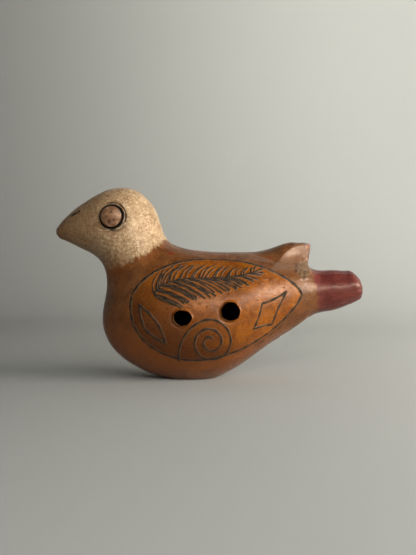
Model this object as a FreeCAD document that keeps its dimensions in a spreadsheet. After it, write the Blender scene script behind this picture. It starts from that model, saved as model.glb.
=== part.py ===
import FreeCAD, Part
import os
import Sketcher

# A hand-built clay bird ocarina, in millimetres.
# +Z is up, the head looks towards -X, the red mouthpiece is the tail at +X, and -Y is the bird's left.
# The origin is the centre of the small flat on the belly that the ocarina stands on.
#
# The outside is one skin through a fan of elliptical sections. Each section is seen in the XZ plane
# as a chord from the underside to the back, and has a half width along Y. The clay pieces are
# stretches of that skin between section planes, so they meet face to face where they were luted.

Vector = FreeCAD.Vector
AXES_CYCLED = "rotation(vector(1; 1; 1); 120)"
OUTER_NAMES = ("low_x", "low_z", "high_x", "high_z", "half_width")

# Underside point, back point and half width of each section, from the beak's tip to the tail.
OUTER_SECTIONS = [
    (-55.9, 60.6, -55.8, 62.2, 0.7),
    (-55.2, 59.2, -54.9, 63.5, 2.0),
    (-53.0, 57.8, -52.2, 66.6, 4.1),
    (-49.2, 56.1, -48.0, 70.6, 6.7),
    (-44.5, 53.8, -42.4, 74.4, 9.5),
    (-40.6, 51.6, -36.2, 77.8, 11.8),
    (-37.9, 49.2, -29.4, 79.2, 13.1),
    (-36.1, 46.0, -22.6, 78.0, 13.6),
    (-35.2, 42.6, -17.2, 73.8, 13.7),
    (-34.9, 38.8, -13.8, 68.3, 13.8),
    (-35.2, 34.2, -11.6, 61.8, 14.7),
    (-36.0, 28.6, -8.8, 56.9, 16.7),
    (-36.2, 22.8, -4.2, 54.5, 19.5),
    (-34.3, 16.2, 1.0, 53.4, 22.3),
    (-30.0, 10.0, 6.0, 52.9, 24.2),
    (-22.5, 4.6, 10.5, 52.6, 25.0),
    (-12.0, 0.4, 14.5, 52.4, 25.2),
    (0.0, -1.7, 18.5, 52.4, 25.0),
    (11.5, 0.3, 22.5, 52.3, 24.5),
    (20.5, 5.4, 27.0, 52.0, 23.1),
    (30.0, 11.9, 33.0, 51.2, 19.5),
    (39.0, 17.8, 40.0, 50.0, 15.6),
    (46.5, 22.7, 46.8, 48.0, 12.1),
    (52.5, 26.6, 52.5, 45.2, 9.3),
]
HEAD_SEAM = 9
NECK_SEAM = 11
BOWL_SEAM = 17
TAIL_SEAM = len(OUTER_SECTIONS) - 1

# How far the chamber's sections lie inside the outer ones, along the chord and along Y.
CHAMBER_INSETS = {12: (10.0, 9.0), 13: (5.6, 5.6), 14: (4.9, 4.9)}
CHAMBER_INSETS.update({index: (4.6, 4.6) for index in range(15, 22)})
CHAMBER_INSETS[22] = (4.9, 4.9)

# The mouthpiece: the same five values, but these sections are wider than they are tall.
MOUTHPIECE_SECTIONS = [
    (52.5, 26.6, 52.5, 45.2, 9.3),
    (59.0, 27.9, 59.0, 44.9, 8.9),
    (66.0, 30.2, 65.4, 44.4, 8.3),
    (72.3, 33.4, 70.0, 42.4, 6.9),
]

# Every edge of the mouthpiece that lies wholly beyond this X belongs to its blowing end.
RIM_STARTS_AT = 69.0

# The tail fin: height, first and last X, and half width of each level section.
FIN_NAMES = ("level", "front", "back", "half_width")
FIN_SECTIONS = [
    (44.0, 22.0, 49.6, 10.0),
    (50.0, 26.0, 50.6, 6.0),
    (53.0, 30.5, 51.6, 4.2),
    (55.2, 38.0, 51.4, 2.9),
    (56.3, 42.5, 50.2, 1.5),
]

DIMENSIONS = {
    "reach": 200.0,
    "side_reach": 50.0,
    "chamber_end_x": 50.0,
    "chamber_end_low": 30.2,
    "chamber_end_high": 40.6,
    "chamber_end_half_width": 4.3,
    "mouthpiece_edge_round": 1.6,
    "eye_x": -31.5,
    "eye_z": 66.5,
    "eye_floor": 11.5,
    "eye_crown": 14.3,
    "eye_radius": 4.45,
    "eye_dome_radius": 9.0,
    "socket_radius": 5.05,
    "nostril_x": -47.3,
    "nostril_y": 7.0,
    "nostril_z": 68.4,
    "nostril_half_length": 1.9,
    "nostril_half_height": 0.45,
    "nostril_half_depth": 1.2,
    "nostril_slope": 26.0,
    "front_hole_left_x": -2.4,
    "front_hole_left_z": 26.0,
    "front_hole_right_x": 5.6,
    "front_hole_right_z": 30.0,
    "front_hole_radius": 3.4,
    "rear_hole_left_x": 16.4,
    "rear_hole_left_z": 28.5,
    "rear_hole_right_x": 24.4,
    "rear_hole_right_z": 32.5,
    "rear_hole_radius": 3.7,
    "hole_inner_y": 12.0,
    "windway_exit_x": 50.0,
    "windway_exit_z": 28.0,
    "windway_slope": 22.7,
    "windway_height": 2.0,
    "windway_width": 9.0,
    "windway_length": 28.0,
    "window_front": 44.5,
    "window_top": 32.5,
    "seat_top": 31.5,
    "ramp_front": 37.5,
    "edge_low": 25.4,
    "edge_high": 26.2,
    "ramp_foot": 17.4,
    "ramp_back": 22.4,
}

document = FreeCAD.newDocument("bird_ocarina")
sheet = document.addObject("Spreadsheet::Sheet", "sizes")
sheet_rows = 0


def store(alias, value):
    """Write one number into the sheet and give its cell an alias."""
    global sheet_rows
    sheet_rows += 1
    sheet.set("A%d" % sheet_rows, alias)
    sheet.set("B%d" % sheet_rows, str(value))
    sheet.setAlias("B%d" % sheet_rows, alias)


def store_table(prefix, names, rows):
    for index, row in enumerate(rows):
        for name, value in zip(names, row):
            store("%s_%02d_%s" % (prefix, index, name), value)


def bind(item, **expressions):
    """Bind properties to sheet expressions; a double underscore stands for a dot."""
    for name, expression in expressions.items():
        item.setExpression(name.replace("__", "."), expression)
    return item


def combine(kind, name, first, second):
    """A Part::Cut or Part::Common of two objects."""
    result = document.addObject("Part::" + kind, name)
    result.Base = first
    result.Tool = second
    return result


def cut_all(name, base, tools):
    """Cut each tool in turn; only the last result keeps the given name."""
    for index, tool in enumerate(tools):
        last = index == len(tools) - 1
        base = combine("Cut", name if last else "%s_cut_%d" % (name, index), base, tool)
    return base


def section_terms(prefix, index):
    """Sheet expressions for a section's middle, lean from vertical, half chord and half width."""
    low_x, low_z, high_x, high_z, width = ("sizes.%s_%02d_%s" % (prefix, index, n) for n in OUTER_NAMES)
    run = "(%s - %s)" % (high_x, low_x)
    rise = "(%s - %s)" % (high_z, low_z)
    return {
        "low_x": low_x,
        "low_z": low_z,
        "middle": "vector((%s + %s) / 2; 0; (%s + %s) / 2)" % (low_x, high_x, low_z, high_z),
        "lean": "atan2(%s; %s)" % (run, rise),
        "half_chord": "sqrt(%s ^ 2 + %s ^ 2) / 2" % (run, rise),
        "half_width": width,
    }


def tall_ellipse(name, terms, inset=("0", "0")):
    """A section whose long axis is its chord: the body, the head and the chamber."""
    turn = "rotation(vector(0; 1; 0); %s - 90 deg)" % terms["lean"]
    return bind(
        document.addObject("Part::Ellipse", name),
        MajorRadius="%s - %s" % (terms["half_chord"], inset[0]),
        MinorRadius="%s - %s" % (terms["half_width"], inset[1]),
        Placement="placement(%s; %s)" % (terms["middle"], turn),
    )


def wide_ellipse(name, terms):
    """A section whose long axis runs along Y: the mouthpiece."""
    turn = "rotation(vector(0; 1; 0); %s) * %s" % (terms["lean"], AXES_CYCLED)
    return bind(
        document.addObject("Part::Ellipse", name),
        MajorRadius=terms["half_width"],
        MinorRadius=terms["half_chord"],
        Placement="placement(%s; %s)" % (terms["middle"], turn),
    )


def level_ellipse(name, index):
    """A level section of the tail fin, long along X."""
    level, front, back, width = ("sizes.fin_%02d_%s" % (index, n) for n in FIN_NAMES)
    return bind(
        document.addObject("Part::Ellipse", name),
        MajorRadius="(%s - %s) / 2" % (back, front),
        MinorRadius=width,
        Placement__Base__x="(%s + %s) / 2" % (front, back),
        Placement__Base__z=level,
    )


def loft(name, sections):
    result = document.addObject("Part::Loft", name)
    result.Sections = sections
    result.Solid = True
    return result


def behind_plane(name, index):
    """A large block that fills everything on the tail's side of a section plane."""
    terms = section_terms("outer", index)
    lean = terms["lean"]
    corner = "vector(%s - sizes.reach / 2 * sin(%s); -sizes.reach / 2; %s - sizes.reach / 2 * cos(%s))" % (
        terms["low_x"], lean, terms["low_z"], lean)
    return bind(
        document.addObject("Part::Box", name),
        Length="sizes.reach",
        Width="sizes.reach",
        Height="sizes.reach",
        Placement="placement(%s; rotation(vector(0; 1; 0); %s))" % (corner, lean),
    )


def block(name, low, high):
    """A block between two corners, each given as three sheet expressions."""
    item = bind(
        document.addObject("Part::Box", name),
        Length="(%s) - (%s)" % (high[0], low[0]),
        Width="(%s) - (%s)" % (high[1], low[1]),
        Height="(%s) - (%s)" % (high[2], low[2]),
    )
    return bind(item, Placement__Base__x=low[0], Placement__Base__y=low[1], Placement__Base__z=low[2])


def side_cylinder(name, x, z, radius, inner, outer, side):
    """A cylinder along Y that runs outwards from inner to outer on one side (-1 left, 1 right)."""
    turn = "rotation(vector(1; 0; 0); %d)" % (-90 * side)
    return bind(
        document.addObject("Part::Cylinder", name),
        Radius=radius,
        Height="(%s) - (%s)" % (outer, inner),
        Placement="placement(vector(%s; %d * (%s); %s); %s)" % (x, side, inner, z, turn),
    )


def slope_block(name, width, low, high):
    """A block that lies along the windway's slope, from its exit upwards to the mouth's end."""
    slope = "sizes.windway_slope"
    corner = "vector(sizes.windway_exit_x - (%s) * sin(%s); -(%s) / 2; sizes.windway_exit_z + (%s) * cos(%s))" % (
        low, slope, width, low, slope)
    return bind(
        document.addObject("Part::Box", name),
        Length="sizes.windway_length",
        Width=width,
        Height="(%s) - (%s)" % (high, low),
        Placement="placement(%s; rotation(vector(0; 1; 0); -%s))" % (corner, slope),
    )


def make_outer_skin():
    sections = []
    for index in range(len(OUTER_SECTIONS)):
        sections.append(tall_ellipse("outer_section_%02d" % index, section_terms("outer", index)))
    whole = loft("outer_skin_round", sections)
    ground = block(
        "ground",
        ("-sizes.reach / 2", "-sizes.reach / 2", "-sizes.reach"),
        ("sizes.reach / 2", "sizes.reach / 2", "0"),
    )
    return combine("Cut", "outer_skin", whole, ground)


def make_chamber():
    sections = []
    for index, inset in sorted(CHAMBER_INSETS.items()):
        terms = section_terms("outer", index)
        insets = ("sizes.inset_%02d_chord" % index, "sizes.inset_%02d_side" % index)
        sections.append(tall_ellipse("chamber_section_%02d" % index, terms, insets))
    end = bind(
        document.addObject("Part::Ellipse", "chamber_section_end"),
        MajorRadius="(sizes.chamber_end_high - sizes.chamber_end_low) / 2",
        MinorRadius="sizes.chamber_end_half_width",
        Placement="placement(vector(sizes.chamber_end_x; 0; (sizes.chamber_end_high + sizes.chamber_end_low)"
                  " / 2); rotation(vector(0; 1; 0); -90))",
    )
    return loft("chamber_space", sections + [end])


def make_finger_holes(which):
    """Two holes, one on each side; the right hand's holes sit a little farther back and higher."""
    holes = []
    for side_name, side in (("left", -1), ("right", 1)):
        holes.append(side_cylinder(
            "%s_hole_%s" % (which, side_name),
            "sizes.%s_hole_%s_x" % (which, side_name),
            "sizes.%s_hole_%s_z" % (which, side_name),
            "sizes.%s_hole_radius" % which,
            "sizes.hole_inner_y",
            "sizes.side_reach",
            side,
        ))
    return holes


def make_eyes():
    sockets = []
    for side_name, side in (("left", -1), ("right", 1)):
        sockets.append(side_cylinder(
            "eye_socket_" + side_name, "sizes.eye_x", "sizes.eye_z", "sizes.socket_radius",
            "sizes.eye_floor", "sizes.side_reach", side))
        disc = side_cylinder(
            "eye_disc_" + side_name, "sizes.eye_x", "sizes.eye_z", "sizes.eye_radius",
            "sizes.eye_floor", "sizes.side_reach", side)
        dome = bind(
            document.addObject("Part::Sphere", "eye_dome_" + side_name),
            Radius="sizes.eye_dome_radius",
            Placement__Base__x="sizes.eye_x",
            Placement__Base__y="%d * (sizes.eye_crown - sizes.eye_dome_radius)" % side,
            Placement__Base__z="sizes.eye_z",
        )
        combine("Common", "eye_" + side_name, disc, dome)
    return sockets


def make_nostrils():
    nostrils = []
    for side_name, side in (("left", -1), ("right", 1)):
        place = "vector(sizes.nostril_x; %d * sizes.nostril_y; sizes.nostril_z)" % side
        nostrils.append(bind(
            document.addObject("Part::Ellipsoid", "nostril_" + side_name),
            Radius1="sizes.nostril_half_height",
            Radius2="sizes.nostril_half_length",
            Radius3="sizes.nostril_half_depth",
            Placement="placement(%s; rotation(vector(0; 1; 0); -sizes.nostril_slope))" % place,
        ))
    return nostrils


def make_head_and_neck(skin, behind_head, behind_neck):
    head_block = combine("Cut", "head_block", skin, behind_head)
    cut_all("head", head_block, make_eyes() + make_nostrils())
    neck_and_body = combine("Common", "neck_and_body", skin, behind_head)
    combine("Cut", "neck_collar", neck_and_body, behind_neck)


def make_bowls(skin, behind_neck, behind_seam):
    chamber = make_chamber()
    pot = combine("Common", "pot", skin, behind_neck)
    breast_block = combine("Cut", "breast_block", pot, behind_seam)
    cut_all("breast_bowl", breast_block, [chamber] + make_finger_holes("front"))
    half_width = "sizes.windway_width / 2"
    window = block(
        "sound_window",
        ("sizes.window_front", "-" + half_width, "0"),
        ("sizes.windway_exit_x", half_width, "sizes.window_top"),
    )
    edge_seat = block(
        "edge_seat",
        ("sizes.ramp_front", "-" + half_width, "0"),
        ("sizes.window_front", half_width, "sizes.seat_top"),
    )
    windway = slope_block("windway_in_rump", "sizes.windway_width",
                          "-sizes.windway_height / 2", "sizes.windway_height / 2")
    rump_block = combine("Common", "rump_block", pot, behind_seam)
    cut_all("rump_bowl", rump_block,
            [chamber] + make_finger_holes("rear") + [window, edge_seat, windway])


def make_tail_fin(skin):
    sections = [level_ellipse("fin_section_%02d" % index, index) for index in range(len(FIN_SECTIONS))]
    combine("Cut", "tail_fin", loft("fin_block", sections), skin)


def make_mouthpiece():
    sections = []
    for index in range(len(MOUTHPIECE_SECTIONS)):
        sections.append(wide_ellipse("mouth_section_%02d" % index, section_terms("mouth", index)))
    blank = loft("mouthpiece_blank", sections)
    document.recompute()
    edges = enumerate(blank.Shape.Edges, 1)
    rim = [number for number, edge in edges if edge.BoundBox.XMin > RIM_STARTS_AT]
    rounded = document.addObject("Part::Fillet", "mouthpiece_rounded")
    rounded.Base = blank
    radius = DIMENSIONS["mouthpiece_edge_round"]
    rounded.Edges = [(number, radius, radius) for number in rim]
    windway = slope_block("windway", "sizes.windway_width",
                          "-sizes.windway_height / 2", "sizes.windway_height / 2")
    above = slope_block("above_windway", "sizes.side_reach", "0", "sizes.side_reach")
    combine("Cut", "mouthpiece_roof", combine("Common", "roof_block", rounded, above), windway)
    combine("Cut", "mouthpiece_floor", combine("Cut", "floor_block", rounded, above), windway)


def make_sound_edge():
    """A wedge of clay: its underside is the ramp that rises to the edge in front of the windway."""
    body = document.addObject("PartDesign::Body", "sound_edge")
    plane = [f for f in body.Origin.OriginFeatures if f.Role == "XZ_Plane"][0]
    sketch = body.newObject("Sketcher::SketchObject", "sound_edge_profile")
    sketch.AttachmentSupport = [(plane, "")]
    sketch.MapMode = "FlatFace"
    corners = [
        ("ramp_front", "ramp_foot"),
        ("window_front", "edge_low"),
        ("window_front", "edge_high"),
        ("ramp_front", "ramp_back"),
    ]
    points = [Vector(DIMENSIONS[x], DIMENSIONS[z], 0) for x, z in corners]
    following = points[1:] + points[:1]
    for start, end in zip(points, following):
        sketch.addGeometry(Part.LineSegment(start, end), False)
    for index in range(len(corners)):
        previous = (index - 1) % len(corners)
        sketch.addConstraint(Sketcher.Constraint("Coincident", previous, 2, index, 1))
    for index, (x, z) in enumerate(corners):
        for kind, alias in (("DistanceX", x), ("DistanceY", z)):
            number = sketch.addConstraint(
                Sketcher.Constraint(kind, -1, 1, index, 1, DIMENSIONS[alias]))
            sketch.setExpression("Constraints[%d]" % number, "sizes." + alias)
    pad = body.newObject("PartDesign::Pad", "sound_edge_pad")
    pad.Profile = sketch
    pad.SideType = "Symmetric"
    bind(pad, Length="sizes.windway_width")


NODES = ["breast_bowl", "rump_bowl", "neck_collar", "head", "eye_left", "eye_right",
         "tail_fin", "mouthpiece_roof", "mouthpiece_floor", "sound_edge"]


def check_and_export():
    document.recompute()
    for item in document.Objects:
        if "Invalid" in item.State or "Error" in item.State:
            raise RuntimeError("%s failed: %s" % (item.Name, item.State))
    os.makedirs("parts", exist_ok=True)
    for name in NODES:
        shape = document.getObject(name).Shape
        if shape.isNull() or not shape.isValid() or len(shape.Solids) != 1:
            raise RuntimeError("%s has no single valid solid" % name)
        shape.exportStep("parts/%s.step" % name)
        print("%-17s %9.1f mm3" % (name, shape.Volume), shape.BoundBox)


def main():
    for alias, value in DIMENSIONS.items():
        store(alias, value)
    store_table("outer", OUTER_NAMES, OUTER_SECTIONS)
    store_table("mouth", OUTER_NAMES, MOUTHPIECE_SECTIONS)
    store_table("fin", FIN_NAMES, FIN_SECTIONS)
    for index, inset in sorted(CHAMBER_INSETS.items()):
        store("inset_%02d_chord" % index, inset[0])
        store("inset_%02d_side" % index, inset[1])
    document.recompute()
    skin = make_outer_skin()
    behind_neck = behind_plane("behind_neck", NECK_SEAM)
    make_head_and_neck(skin, behind_plane("behind_head", HEAD_SEAM), behind_neck)
    make_bowls(skin, behind_neck, behind_plane("behind_bowl_seam", BOWL_SEAM))
    make_tail_fin(skin)
    make_mouthpiece()
    make_sound_edge()
    check_and_export()


main()
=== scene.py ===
import math

import bmesh
import bpy
import numpy as np
from mathutils import Matrix, Vector, noise
from mathutils.kdtree import KDTree


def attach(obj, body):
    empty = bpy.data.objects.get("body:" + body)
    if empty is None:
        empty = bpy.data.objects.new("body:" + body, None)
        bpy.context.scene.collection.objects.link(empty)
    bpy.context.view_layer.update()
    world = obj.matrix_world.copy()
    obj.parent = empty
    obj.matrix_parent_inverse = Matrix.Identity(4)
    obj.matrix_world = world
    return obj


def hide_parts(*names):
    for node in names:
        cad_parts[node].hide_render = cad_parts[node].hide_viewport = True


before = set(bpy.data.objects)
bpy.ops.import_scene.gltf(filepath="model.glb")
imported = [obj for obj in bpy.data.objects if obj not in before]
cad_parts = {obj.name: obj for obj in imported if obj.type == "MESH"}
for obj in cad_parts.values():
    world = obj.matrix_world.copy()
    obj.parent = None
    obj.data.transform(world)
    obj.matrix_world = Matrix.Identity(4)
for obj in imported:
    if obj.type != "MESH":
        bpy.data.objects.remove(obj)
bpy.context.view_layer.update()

# A hand-built, burnished clay bird ocarina. The head looks towards -X, the mouthpiece is the tail at
# +X, -Y is the bird's left side and z = 0 is the flat that it stands on. Lengths are in metres; the
# tables are in millimetres and are scaled by MM.

# Without a seed, Blender shifts its vector noise by the clock, and each run would differ.
NOISE_SEED = 5
noise.seed_set(NOISE_SEED)
MM = 0.001
FULL_TURN = 2 * math.pi

# ---------------------------------------------------------------------------------------------
# The skin: a fan of elliptical sections. Each row is the underside point (x, z), the point on the
# back (x, z) and the half width along Y.

SECTIONS = MM * np.array([
    (-55.9, 60.6, -55.8, 62.2, 0.7),
    (-55.2, 59.2, -54.9, 63.5, 2.0),
    (-53.0, 57.8, -52.2, 66.6, 4.1),
    (-49.2, 56.1, -48.0, 70.6, 6.7),
    (-44.5, 53.8, -42.4, 74.4, 9.5),
    (-40.6, 51.6, -36.2, 77.8, 11.8),
    (-37.9, 49.2, -29.4, 79.2, 13.1),
    (-36.1, 46.0, -22.6, 78.0, 13.6),
    (-35.2, 42.6, -17.2, 73.8, 13.7),
    (-34.9, 38.8, -13.8, 68.3, 13.8),
    (-35.2, 34.2, -11.6, 61.8, 14.7),
    (-36.0, 28.6, -8.8, 56.9, 16.7),
    (-36.2, 22.8, -4.2, 54.5, 19.5),
    (-34.3, 16.2, 1.0, 53.4, 22.3),
    (-30.0, 10.0, 6.0, 52.9, 24.2),
    (-22.5, 4.6, 10.5, 52.6, 25.0),
    (-12.0, 0.4, 14.5, 52.4, 25.2),
    (0.0, -1.7, 18.5, 52.4, 25.0),
    (11.5, 0.3, 22.5, 52.3, 24.5),
    (20.5, 5.4, 27.0, 52.0, 23.1),
    (30.0, 11.9, 33.0, 51.2, 19.5),
    (39.0, 17.8, 40.0, 50.0, 15.6),
    (46.5, 22.7, 46.8, 48.0, 12.1),
    (52.5, 26.6, 52.5, 45.2, 9.3),
    (59.0, 27.9, 59.0, 44.9, 8.9),
    (66.0, 30.2, 65.4, 44.4, 8.3),
    (70.6, 32.4, 67.9, 43.7, 7.5),
    (71.4, 33.4, 70.2, 41.3, 6.0),
    (71.8, 34.9, 71.4, 38.6, 3.4),
])
HEAD_SEAM, NECK_SEAM, BOWL_SEAM, TAIL_SEAM = 9, 11, 17, 23
WALL = 4.6 * MM


class Spline:
    """A natural cubic curve through rows of values at given knots."""

    def __init__(self, knots, values):
        self.knots = np.asarray(knots, float)
        self.values = np.asarray(values, float)
        gaps = np.diff(self.knots)
        count = len(self.knots)
        matrix = np.eye(count)
        right = np.zeros_like(self.values)
        slopes = np.diff(self.values, axis=0) / gaps[:, None]
        for i in range(1, count - 1):
            matrix[i, i - 1:i + 2] = gaps[i - 1], 2 * (gaps[i - 1] + gaps[i]), gaps[i]
            right[i] = 6 * (slopes[i] - slopes[i - 1])
        self.bends = np.linalg.solve(matrix, right)

    def __call__(self, at):
        at = np.asarray(at, float)
        i = np.clip(np.searchsorted(self.knots, at, side="right") - 1, 0, len(self.knots) - 2)
        gap = (self.knots[i + 1] - self.knots[i])[..., None]
        a = (self.knots[i + 1] - at)[..., None] / gap
        b = 1 - a
        curve = (a ** 3 - a) * self.bends[i] + (b ** 3 - b) * self.bends[i + 1]
        return a * self.values[i] + b * self.values[i + 1] + curve * gap ** 2 / 6


def path_lengths(points):
    steps = np.linalg.norm(np.diff(points, axis=0), axis=1)
    return np.concatenate([[0.0], np.cumsum(steps)])


def smooth_path(points, spacing):
    """Points along a smooth curve through a few given ones."""
    points = np.asarray(points, float)
    knots = path_lengths(points)
    count = max(2, int(math.ceil(knots[-1] / spacing)))
    return Spline(knots, points)(np.linspace(0, knots[-1], count + 1))


def ramp(value, low, high):
    """0 below low, 1 above high, smooth between."""
    share = np.clip((value - low) / (high - low), 0, 1)
    return share * share * (3 - 2 * share)


# A section's place along the bird is the mean distance travelled by its underside and its back.
PLACES = (path_lengths(SECTIONS[:, 0:2]) + path_lengths(SECTIONS[:, 2:4])) / 2
SECTION_CURVE = Spline(PLACES, SECTIONS)


def skin(place, turn):
    """Points of the plain skin. turn is 0 along the back and grows towards the bird's right (+Y)."""
    row = SECTION_CURVE(place)
    middle = (row[..., 0:2] + row[..., 2:4]) / 2
    chord = (row[..., 2:4] - row[..., 0:2]) / 2
    up, side = np.cos(turn), np.sin(turn)
    return np.stack([
        middle[..., 0] + chord[..., 0] * up,
        row[..., 4] * side,
        middle[..., 1] + chord[..., 1] * up,
    ], axis=-1)


def unit(vectors):
    return vectors / np.maximum(np.linalg.norm(vectors, axis=-1, keepdims=True), 1e-12)


def skin_normals(place, turn, shape=skin):
    step, angle = 0.05 * MM, 0.002
    along = shape(place + step, turn) - shape(place - step, turn)
    around = shape(place, turn + angle) - shape(place, turn - angle)
    return unit(np.cross(around, along))


def noise_field(points, size, offset=0.0):
    """Smooth noise from -1 to 1 with features of a given size."""
    flat = points.reshape(-1, 3) / size + offset
    values = np.array([noise.noise(Vector(p)) for p in flat])
    return values.reshape(points.shape[:-1])


# ---------------------------------------------------------------------------------------------
# What is pressed, cut and scratched into the clay. Places are (x, z) seen from the side, in
# millimetres, and each stands for both sides of the bird.

EYE = MM * np.array([-31.35, 66.45])
EYE_RADIUS = 4.25 * MM
SOCKET_RADIUS = 4.95 * MM
SECOND_RING = 5.85 * MM
EYE_FLOOR, EYE_CROWN, EYE_DOME = 11.5 * MM, 14.3 * MM, 9.0 * MM
EYE_DOTS = [(0.0, 1.8, 0.55), (-0.8, -2.1, 0.75), (1.1, -1.7, 0.5)]
# Each finger hole: side (-1 left, 1 right), middle, half width and half height, and an uneven phase.
FINGER_HOLES = [
    (-1, MM * np.array([-2.4, 26.0]), MM * np.array([3.65, 3.1]), 0.6),
    (1, MM * np.array([5.6, 30.0]), MM * np.array([3.4, 3.4]), 2.1),
    (-1, MM * np.array([16.4, 28.5]), MM * np.array([3.7, 3.75]), 3.3),
    (1, MM * np.array([24.4, 32.5]), MM * np.array([3.7, 3.6]), 1.2),
]
RIM_ROUND = 0.7 * MM
FACET_COUNT = 11
NOSTRIL_FRONT, NOSTRIL_REAR = np.array([-49.0, 67.5]), np.array([-45.5, 69.0])
NOSTRIL_PIT = np.array([0.5, 0.2])
ROUGH_MIDDLE, ROUGH_SIZE = MM * np.array([46.4, 45.0]), MM * np.array([3.3, 3.9])
WINDWAY_SLOPE = math.radians(22.7)
# Where the windway enters the window, and half the width of the windway, the window and the seat.
WINDWAY_FOOT = (50 * MM, 0, 28 * MM)
WINDWAY_HALF = 4.5 * MM
EDGE_PROFILE = [(37.5, 17.4), (44.5, 25.4), (44.5, 26.2), (37.5, 22.4)]
# The fin: X, height over the back, how broad its crown is, how steep its flanks are.
FIN_BACK = 47.9
FIN_BLEND = 3.4
FIN_LEAN = 0.26
FIN_PROFILE = np.array([
    (18.0, -4.4, 9.0, 0.9), (24.0, -2.2, 9.0, 0.9), (27.0, -0.7, 8.7, 0.93), (31.4, 2.0, 7.9, 1.04),
    (35.5, 4.2, 6.9, 1.2), (37.6, 5.4, 6.1, 1.4), (40.5, 6.6, 4.5, 1.7), (44.1, 7.4, 3.1, 2.05),
    (48.0, 8.4, 1.9, 2.6), (52.0, 8.8, 1.6, 2.8),
])
# Three points of the flat that a finger pressed into the fin's flank; X, distance from the middle, Z.
FIN_FACET = np.array([(33.5, 10.5, 46.7), (41.0, 4.8, 53.6), (49.2, 0.5, 55.6)])
# Where the fin's flank breaks into the hollow behind its foot: X, then Z.
FIN_CREASE = np.array([(43.0, 44.3, 47.7, 50.4), (46.0, 46.8, 48.7, 51.6)])
# The dent that a thumb left in the fin, and the chip at its tip: middle (x, z) and size.
THUMB_MIDDLE, THUMB_SIZE = (45.2 * MM, 50.8 * MM), (5.2 * MM, 3.6 * MM)
CHIP_MIDDLE, CHIP_SIZE = (50.0 * MM, 54.4 * MM), 0.75 * MM
# The cream slip ends along a level line in front, and past its bend rises as a parabola.
CREAM_LEVEL, CREAM_BEND, CREAM_RISE = 46.0, -34.0, 0.0195
# Specks of red slip on the left side: middle (x, z), then half length and half height.
RED_SPECKS = [((-7.5, 51.6), (1.2, 0.6)), ((32.7, 50.0), (1.0, 0.5))]

# The wing: its front end, its rear tip, how far each edge swells away from the line between them,
# and how bluntly that edge comes back to the tip.
WING_FRONT, WING_TIP = np.array([-23.0, 31.0]), np.array([45.5, 35.0])
UPPER_SWELL, UPPER_TAPER = 37.0, 0.7
LOWER_SWELL, LOWER_TAPER = -54.0, 0.75
# A stretch of the lower edge that was scratched a second time, beside the first.
ECHO_FIRST, ECHO_LAST, ECHO_STEP = 0.70, 0.88, np.array([1.0, -1.0])
CURVE_POINTS = 16
# The corners of the two diamonds, and how far each side bows.
FRONT_DIAMOND = [(-19.5, 31), (-12.5, 24.5), (-9, 16), (-17, 21.5)]
REAR_DIAMOND = [(39, 36), (29, 31.5), (25.5, 21.5), (33, 23)]
DIAMOND_BOW = 0.4
# The spiral, in degrees and millimetres: it grows from its start until it is full, and from where
# it leaves that circle its tail swings out.
SPIRAL_MIDDLE = np.array([8.5, 16.5])
SPIRAL_START, SPIRAL_FULL, SPIRAL_LEAVE, SPIRAL_END = -660, 90, 120, 212
SPIRAL_EYE, SPIRAL_GROWTH, SPIRAL_TAIL, SPIRAL_POWER = 1.7, 7.2, 5.7, 1.1
SPIRAL_POINTS = 60
LINE_STEP = 0.06
RANDOM_NICKS = 220


def wing_edge(swell, taper, first=0.0, last=1.0):
    """One long edge of the wing, or a share of it, from the front end towards the tip."""
    share = first + (last - first) * (1 - np.cos(np.linspace(0, math.pi, CURVE_POINTS))) / 2
    edge = WING_FRONT + share[:, None] * (WING_TIP - WING_FRONT)
    edge[:, 1] += swell * share ** 0.5 * (1 - share) ** taper
    return edge


def curve(start, first_pull, second_pull, end):
    """A cubic curve that sets out towards the first pull and arrives from the second."""
    t = np.linspace(0, 1, CURVE_POINTS)[:, None]
    pulled = 3 * (1 - t) ** 2 * t * np.array(first_pull) + 3 * (1 - t) * t ** 2 * np.array(second_pull)
    return (1 - t) ** 3 * np.array(start) + pulled + t ** 3 * np.array(end)


def bowed_sides(corners, bow):
    """The sides of a closed figure, each through a middle point set a little aside."""
    corners = np.array(corners, float)
    sides = []
    for start, end in zip(corners, np.roll(corners, -1, axis=0)):
        across = np.array([start[1] - end[1], end[0] - start[0]]) / np.linalg.norm(end - start)
        sides.append(np.array([start, (start + end) / 2 + bow * across, end]))
    return sides


def spiral():
    degrees = np.linspace(SPIRAL_START, SPIRAL_END, SPIRAL_POINTS)
    grown = np.clip((degrees - SPIRAL_START) / (SPIRAL_FULL - SPIRAL_START), 0, 1)
    swung = np.maximum(degrees - SPIRAL_LEAVE, 0) / (SPIRAL_END - SPIRAL_LEAVE)
    radius = SPIRAL_EYE + SPIRAL_GROWTH * grown ** SPIRAL_POWER + SPIRAL_TAIL * swung ** 2
    angle = np.radians(degrees)
    return SPIRAL_MIDDLE + radius[:, None] * np.stack([np.cos(angle), np.sin(angle)], axis=1)


WING_UPPER = wing_edge(UPPER_SWELL, UPPER_TAPER)[::-1]
WING_LOWER = wing_edge(LOWER_SWELL, LOWER_TAPER)
LOWER_ECHO = wing_edge(LOWER_SWELL, LOWER_TAPER, ECHO_FIRST, ECHO_LAST) + ECHO_STEP
FEATHER_RIB = curve((-13.5, 35), (-8, 46), (12, 38), (29, 45))
FEATHER_EDGE = curve((-13.5, 35), (-11.5, 32.5), (-7, 32), (-3, 30))
UPPER_TIPS = curve((-12, 43.5), (0, 51), (14, 44), (27, 46))
LOWER_TIPS = curve((-3, 30), (7, 36), (20, 34), (30, 43.5))


def along(path, share):
    return path[int(round(np.clip(share, 0, 1) * (len(path) - 1)))]


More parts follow.
